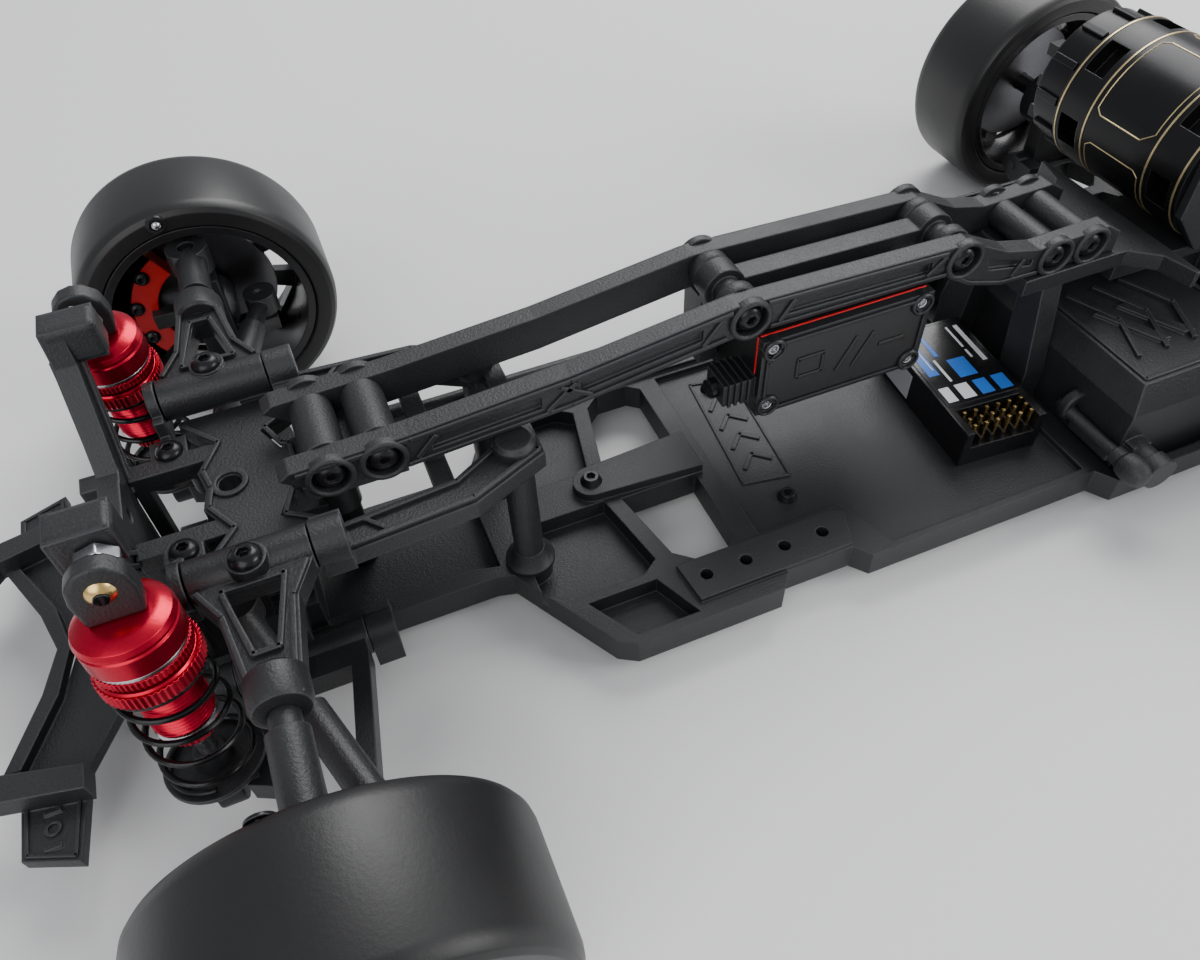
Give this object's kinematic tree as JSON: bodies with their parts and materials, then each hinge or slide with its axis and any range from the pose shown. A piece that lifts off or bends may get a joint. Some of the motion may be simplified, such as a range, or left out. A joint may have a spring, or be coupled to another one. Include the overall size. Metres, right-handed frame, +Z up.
{
  "type": "radio-controlled drift car chassis",
  "caption": "Rear-drive model drift car without its body shell: a flat tub with twin upper rails, wishbone suspension, coil-over dampers, linked steering and a high transverse motor.",
  "frame": {"origin": "on the ground under the middle of the overall box", "axes": "+X forward along the car, +Y to its left, +Z up"},
  "size_m": [0.362, 0.206, 0.0794],
  "materials": {
    "tub_plastic": "fine-grained moulded glass-filled plastic, charcoal black",
    "frame_plastic": "ribbed moulded plastic, charcoal black, light worn edges",
    "arm_plastic": "satin moulded nylon, dark grey",
    "servo_case": "embossed black case",
    "receiver_case": "black case with a plain label",
    "cell_wrap": "shrink-wrapped pack",
    "motor_can": "black anodised can",
    "steel": "hardened steel",
    "black_steel": "black oxide steel",
    "gear_metal": "machined gear",
    "red_anodised": "red anodised aluminium with knurling",
    "spring_steel": "black coated spring wire",
    "tyre": "smooth hard drift tyre",
    "rim_plastic": "moulded black rim"
  },
  "bodies": {
    "main_frame": {"chassis": "tub_plastic", "front_bumper": "frame_plastic", "front_brace": "frame_plastic", "front_shock_tower": "frame_plastic", "rail_left": "frame_plastic", "rail_right": "frame_plastic", "servo_mount": "frame_plastic", "servo": "servo_case", "receiver": "receiver_case", "battery": "cell_wrap", "battery_cover": "frame_plastic", "rear_deck": "frame_plastic", "gearbox_case": "frame_plastic", "motor": "motor_can", "screws_and_pins": "black_steel"},
    "servo_horn": {"servo_horn": "arm_plastic"},
    "servo_link": {"servo_link": "arm_plastic"},
    "steering_crank": {"steering_crank": "arm_plastic"},
    "steering_rack": {"steering_rack": "arm_plastic"},
    "pinion": {"pinion": "gear_metal"},
    "layshaft_gears": {"layshaft_gears": "gear_metal"},
    "spool": {"spool": "gear_metal"},
    "front_left_lower_arm": {"front_left_lower_arm": "arm_plastic"},
    "front_left_damper_body": {"front_left_damper_body": "red_anodised", "front_left_spring": "spring_steel"},
    "front_left_damper_rod": {"front_left_damper_rod": "steel"},
    "front_left_wheel": {"front_left_tyre": "tyre", "front_left_rim": "rim_plastic"},
    "front_left_upper_arm": {"front_left_upper_arm": "arm_plastic"},
    "front_left_kingpin_ball": {"front_left_kingpin_ball": "steel"},
    "front_left_knuckle": {"front_left_knuckle": "arm_plastic"},
    "front_left_tie_rod": {"front_left_tie_rod": "arm_plastic"},
    "front_right_lower_arm": {"front_right_lower_arm": "arm_plastic"},
    "front_right_damper_body": {"front_right_damper_body": "red_anodised", "front_right_spring": "spring_steel"},
    "front_right_damper_rod": {"front_right_damper_rod": "steel"},
    "front_right_wheel": {"front_right_tyre": "tyre", "front_right_rim": "rim_plastic"},
    "front_right_upper_arm": {"front_right_upper_arm": "arm_plastic"},
    "front_right_kingpin_ball": {"front_right_kingpin_ball": "steel"},
    "front_right_knuckle": {"front_right_knuckle": "arm_plastic"},
    "front_right_tie_rod": {"front_right_tie_rod": "arm_plastic"},
    "rear_left_lower_arm": {"rear_left_lower_arm": "arm_plastic"},
    "rear_left_damper_body": {"rear_left_damper_body": "red_anodised", "rear_left_spring": "spring_steel"},
    "rear_left_damper_rod": {"rear_left_damper_rod": "steel"},
    "rear_left_wheel": {"rear_left_tyre": "tyre", "rear_left_rim": "rim_plastic"},
    "rear_left_upper_link": {"rear_left_upper_link": "arm_plastic"},
    "rear_left_hub": {"rear_left_hub": "arm_plastic"},
    "rear_left_half_shaft": {"rear_left_half_shaft": "steel"},
    "rear_right_lower_arm": {"rear_right_lower_arm": "arm_plastic"},
    "rear_right_damper_body": {"rear_right_damper_body": "red_anodised", "rear_right_spring": "spring_steel"},
    "rear_right_damper_rod": {"rear_right_damper_rod": "steel"},
    "rear_right_wheel": {"rear_right_tyre": "tyre", "rear_right_rim": "rim_plastic"},
    "rear_right_upper_link": {"rear_right_upper_link": "arm_plastic"},
    "rear_right_hub": {"rear_right_hub": "arm_plastic"},
    "rear_right_half_shaft": {"rear_right_half_shaft": "steel"}
  },
  "joints": [
    {"name": "servo_horn_turn", "type": "hinge", "parent": "main_frame", "child": "servo_horn", "pos_m": [-0.0084, -0.015, 0.0445], "axis": [0, 1, 0], "range_deg": [-28, 28]},
    {"name": "servo_link_turn", "type": "hinge", "parent": "servo_horn", "child": "servo_link", "pos_m": [-0.0084, -0.0198, 0.0325], "axis": [0, 1, 0], "range_deg": [-28, 28]},
    {"name": "crank_turn", "type": "hinge", "parent": "main_frame", "child": "steering_crank", "pos_m": [0.0893, -0.006, 0.026], "axis": [0, 0, 1], "range_deg": [-24.09, 24.09]},
    {"name": "rack_slide", "type": "slide", "parent": "main_frame", "child": "steering_rack", "axis": [0, 1, 0], "range_m": [-0.006, 0.006]},
    {"name": "front_left_arm_travel", "type": "hinge", "parent": "main_frame", "child": "front_left_lower_arm", "pos_m": [0.106, 0.02, 0.013], "axis": [1, 0, 0], "range_deg": [-3, 4], "stiffness_Nm_per_rad": 2.6, "springref_deg": -1.46},
    {"name": "front_left_damper_tilt", "type": "hinge", "parent": "main_frame", "child": "front_left_damper_body", "pos_m": [0.124, 0.035, 0.068], "axis": [1, 0, 0], "range_deg": [-0.1436, 0.1908]},
    {"name": "front_left_damper_stroke", "type": "slide", "parent": "front_left_damper_body", "child": "front_left_damper_rod", "axis": [0, -0.0977, 0.9952], "range_m": [-0.00106, 0.00142], "deforming": ["front_left_spring"]},
    {"name": "front_left_upper_arm_travel", "type": "hinge", "parent": "main_frame", "child": "front_left_upper_arm", "pos_m": [0.106, 0.0245, 0.05], "axis": [1, 0, 0], "range_deg": [-3.26, 4.35]},
    {"name": "front_left_ball_swing", "type": "hinge", "parent": "front_left_lower_arm", "child": "front_left_kingpin_ball", "pos_m": [0.106, 0.076, 0.014], "axis": [1, 0, 0], "range_deg": [-4.37, 3.28]},
    {"name": "front_left_steer", "type": "hinge", "parent": "front_left_kingpin_ball", "child": "front_left_knuckle", "pos_m": [0.106, 0.076, 0.031], "axis": [0, 0, 1], "range_deg": [-30, 30]},
    {"name": "front_left_wheel_spin", "type": "hinge", "parent": "front_left_knuckle", "child": "front_left_wheel", "pos_m": [0.106, 0.088, 0.031], "axis": [0, 1, 0], "continuous": true},
    {"name": "front_left_tie_rod_swing", "type": "hinge", "parent": "steering_rack", "child": "front_left_tie_rod", "pos_m": [0.113, 0.019, 0.033], "axis": [1, 0, 0], "range_deg": [-2.9, 3.86]},
    {"name": "front_right_arm_travel", "type": "hinge", "parent": "main_frame", "child": "front_right_lower_arm", "pos_m": [0.106, -0.02, 0.013], "axis": [-1, 0, 0], "range_deg": [-3, 4], "stiffness_Nm_per_rad": 2.6, "springref_deg": -1.46},
    {"name": "front_right_damper_tilt", "type": "hinge", "parent": "main_frame", "child": "front_right_damper_body", "pos_m": [0.124, -0.035, 0.068], "axis": [-1, 0, 0], "range_deg": [-0.1436, 0.1908]},
    {"name": "front_right_damper_stroke", "type": "slide", "parent": "front_right_damper_body", "child": "front_right_damper_rod", "axis": [0, 0.0977, 0.9952], "range_m": [-0.00106, 0.00142], "deforming": ["front_right_spring"]},
    {"name": "front_right_upper_arm_travel", "type": "hinge", "parent": "main_frame", "child": "front_right_upper_arm", "pos_m": [0.106, -0.0245, 0.05], "axis": [-1, 0, 0], "range_deg": [-3.26, 4.35]},
    {"name": "front_right_ball_swing", "type": "hinge", "parent": "front_right_lower_arm", "child": "front_right_kingpin_ball", "pos_m": [0.106, -0.076, 0.014], "axis": [-1, 0, 0], "range_deg": [-4.37, 3.28]},
    {"name": "front_right_steer", "type": "hinge", "parent": "front_right_kingpin_ball", "child": "front_right_knuckle", "pos_m": [0.106, -0.076, 0.031], "axis": [0, 0, 1], "range_deg": [-30, 30]},
    {"name": "front_right_wheel_spin", "type": "hinge", "parent": "front_right_knuckle", "child": "front_right_wheel", "pos_m": [0.106, -0.088, 0.031], "axis": [0, 1, 0], "continuous": true},
    {"name": "front_right_tie_rod_swing", "type": "hinge", "parent": "steering_rack", "child": "front_right_tie_rod", "pos_m": [0.113, -0.019, 0.033], "axis": [-1, 0, 0], "range_deg": [-2.9, 3.86]},
    {"name": "rear_left_arm_travel", "type": "hinge", "parent": "main_frame", "child": "rear_left_lower_arm", "pos_m": [-0.15, 0.02, 0.012], "axis": [1, 0, 0], "range_deg": [-3, 4], "stiffness_Nm_per_rad": 3, "springref_deg": -2.98},
    {"name": "rear_left_damper_tilt", "type": "hinge", "parent": "main_frame", "child": "rear_left_damper_body", "pos_m": [-0.17, 0.033, 0.074], "axis": [1, 0, 0], "range_deg": [-0.233, 0.31]},
    {"name": "rear_left_damper_stroke", "type": "slide", "parent": "rear_left_damper_body", "child": "rear_left_damper_rod", "axis": [0, -0.2052, 0.9787], "range_m": [-0.00134, 0.00178], "deforming": ["rear_left_spring"]},
    {"name": "rear_left_upper_link_travel", "type": "hinge", "parent": "main_frame", "child": "rear_left_upper_link", "pos_m": [-0.159, 0.026, 0.046], "axis": [1, 0, 0], "range_deg": [-3.59, 4.79]},
    {"name": "rear_left_hub_swing", "type": "hinge", "parent": "rear_left_lower_arm", "child": "rear_left_hub", "pos_m": [-0.15, 0.069, 0.014], "axis": [1, 0, 0], "range_deg": [-4.24, 3.18]},
    {"name": "rear_left_wheel_spin", "type": "hinge", "parent": "rear_left_hub", "child": "rear_left_wheel", "pos_m": [-0.15, 0.088, 0.031], "axis": [0, 1, 0], "continuous": true},
    {"name": "rear_left_half_shaft_spin", "type": "hinge", "parent": "rear_left_lower_arm", "child": "rear_left_half_shaft", "pos_m": [-0.15, 0.04, 0.031], "axis": [0, 1, 0], "continuous": true},
    {"name": "rear_right_arm_travel", "type": "hinge", "parent": "main_frame", "child": "rear_right_lower_arm", "pos_m": [-0.15, -0.02, 0.012], "axis": [-1, 0, 0], "range_deg": [-3, 4], "stiffness_Nm_per_rad": 3, "springref_deg": -2.98},
    {"name": "rear_right_damper_tilt", "type": "hinge", "parent": "main_frame", "child": "rear_right_damper_body", "pos_m": [-0.17, -0.033, 0.074], "axis": [-1, 0, 0], "range_deg": [-0.233, 0.31]},
    {"name": "rear_right_damper_stroke", "type": "slide", "parent": "rear_right_damper_body", "child": "rear_right_damper_rod", "axis": [0, 0.2052, 0.9787], "range_m": [-0.00134, 0.00178], "deforming": ["rear_right_spring"]},
    {"name": "rear_right_upper_link_travel", "type": "hinge", "parent": "main_frame", "child": "rear_right_upper_link", "pos_m": [-0.159, -0.026, 0.046], "axis": [-1, 0, 0], "range_deg": [-3.59, 4.79]},
    {"name": "rear_right_hub_swing", "type": "hinge", "parent": "rear_right_lower_arm", "child": "rear_right_hub", "pos_m": [-0.15, -0.069, 0.014], "axis": [-1, 0, 0], "range_deg": [-4.24, 3.18]},
    {"name": "rear_right_wheel_spin", "type": "hinge", "parent": "rear_right_hub", "child": "rear_right_wheel", "pos_m": [-0.15, -0.088, 0.031], "axis": [0, 1, 0], "continuous": true},
    {"name": "rear_right_half_shaft_spin", "type": "hinge", "parent": "rear_right_lower_arm", "child": "rear_right_half_shaft", "pos_m": [-0.15, -0.04, 0.031], "axis": [0, 1, 0], "continuous": true},
    {"name": "spool_spin", "type": "hinge", "parent": "main_frame", "child": "spool", "pos_m": [-0.15, 0, 0.031], "axis": [0, 1, 0], "continuous": true},
    {"name": "layshaft_spin", "type": "hinge", "parent": "main_frame", "child": "layshaft_gears", "pos_m": [-0.14805, 0, 0.05572], "axis": [0, 1, 0], "continuous": true},
    {"name": "pinion_spin", "type": "hinge", "parent": "main_frame", "child": "pinion", "pos_m": [-0.122, 0.017, 0.06], "axis": [0, 1, 0], "continuous": true}
  ],
  "couplings": [
    {"joint": "servo_horn_turn", "follows": "front_left_steer", "ratio": 0.93333},
    {"joint": "servo_link_turn", "follows": "front_left_steer", "ratio": -0.93333},
    {"joint": "crank_turn", "follows": "front_left_steer", "ratio": -0.80313},
    {"joint": "rack_slide", "follows": "front_left_steer", "m_per_rad": -0.011459},
    {"joint": "front_left_damper_tilt", "follows": "front_left_arm_travel", "ratio": 0.0472},
    {"joint": "front_left_damper_stroke", "follows": "front_left_arm_travel", "m_per_rad": 0.02033},
    {"joint": "front_left_upper_arm_travel", "follows": "front_left_arm_travel", "ratio": 1.0866},
    {"joint": "front_left_ball_swing", "follows": "front_left_arm_travel", "ratio": -1.0917},
    {"joint": "front_left_tie_rod_swing", "follows": "front_left_arm_travel", "ratio": 0.9655},
    {"joint": "front_right_damper_tilt", "follows": "front_right_arm_travel", "ratio": 0.0472},
    {"joint": "front_right_damper_stroke", "follows": "front_right_arm_travel", "m_per_rad": 0.02033},
    {"joint": "front_right_upper_arm_travel", "follows": "front_right_arm_travel", "ratio": 1.0866},
    {"joint": "front_right_ball_swing", "follows": "front_right_arm_travel", "ratio": -1.0917},
    {"joint": "front_right_steer", "follows": "front_left_steer", "ratio": 1},
    {"joint": "front_right_tie_rod_swing", "follows": "front_right_arm_travel", "ratio": 0.9655},
    {"joint": "rear_left_damper_tilt", "follows": "rear_left_arm_travel", "ratio": 0.077},
    {"joint": "rear_left_damper_stroke", "follows": "rear_left_arm_travel", "m_per_rad": 0.02554},
    {"joint": "rear_left_upper_link_travel", "follows": "rear_left_arm_travel", "ratio": 1.1976},
    {"joint": "rear_left_hub_swing", "follows": "rear_left_arm_travel", "ratio": -1.0587},
    {"joint": "rear_right_damper_tilt", "follows": "rear_right_arm_travel", "ratio": 0.077},
    {"joint": "rear_right_damper_stroke", "follows": "rear_right_arm_travel", "m_per_rad": 0.02554},
    {"joint": "rear_right_upper_link_travel", "follows": "rear_right_arm_travel", "ratio": 1.1976},
    {"joint": "rear_right_hub_swing", "follows": "rear_right_arm_travel", "ratio": -1.0587},
    {"joint": "rear_right_wheel_spin", "follows": "rear_left_wheel_spin", "ratio": 1},
    {"joint": "rear_left_half_shaft_spin", "follows": "rear_left_wheel_spin", "ratio": 1},
    {"joint": "rear_right_half_shaft_spin", "follows": "rear_left_wheel_spin", "ratio": 1},
    {"joint": "spool_spin", "follows": "rear_left_wheel_spin", "ratio": 1},
    {"joint": "layshaft_spin", "follows": "rear_left_wheel_spin", "ratio": -2.4444},
    {"joint": "pinion_spin", "follows": "rear_left_wheel_spin", "ratio": 6.5185}
  ]
}
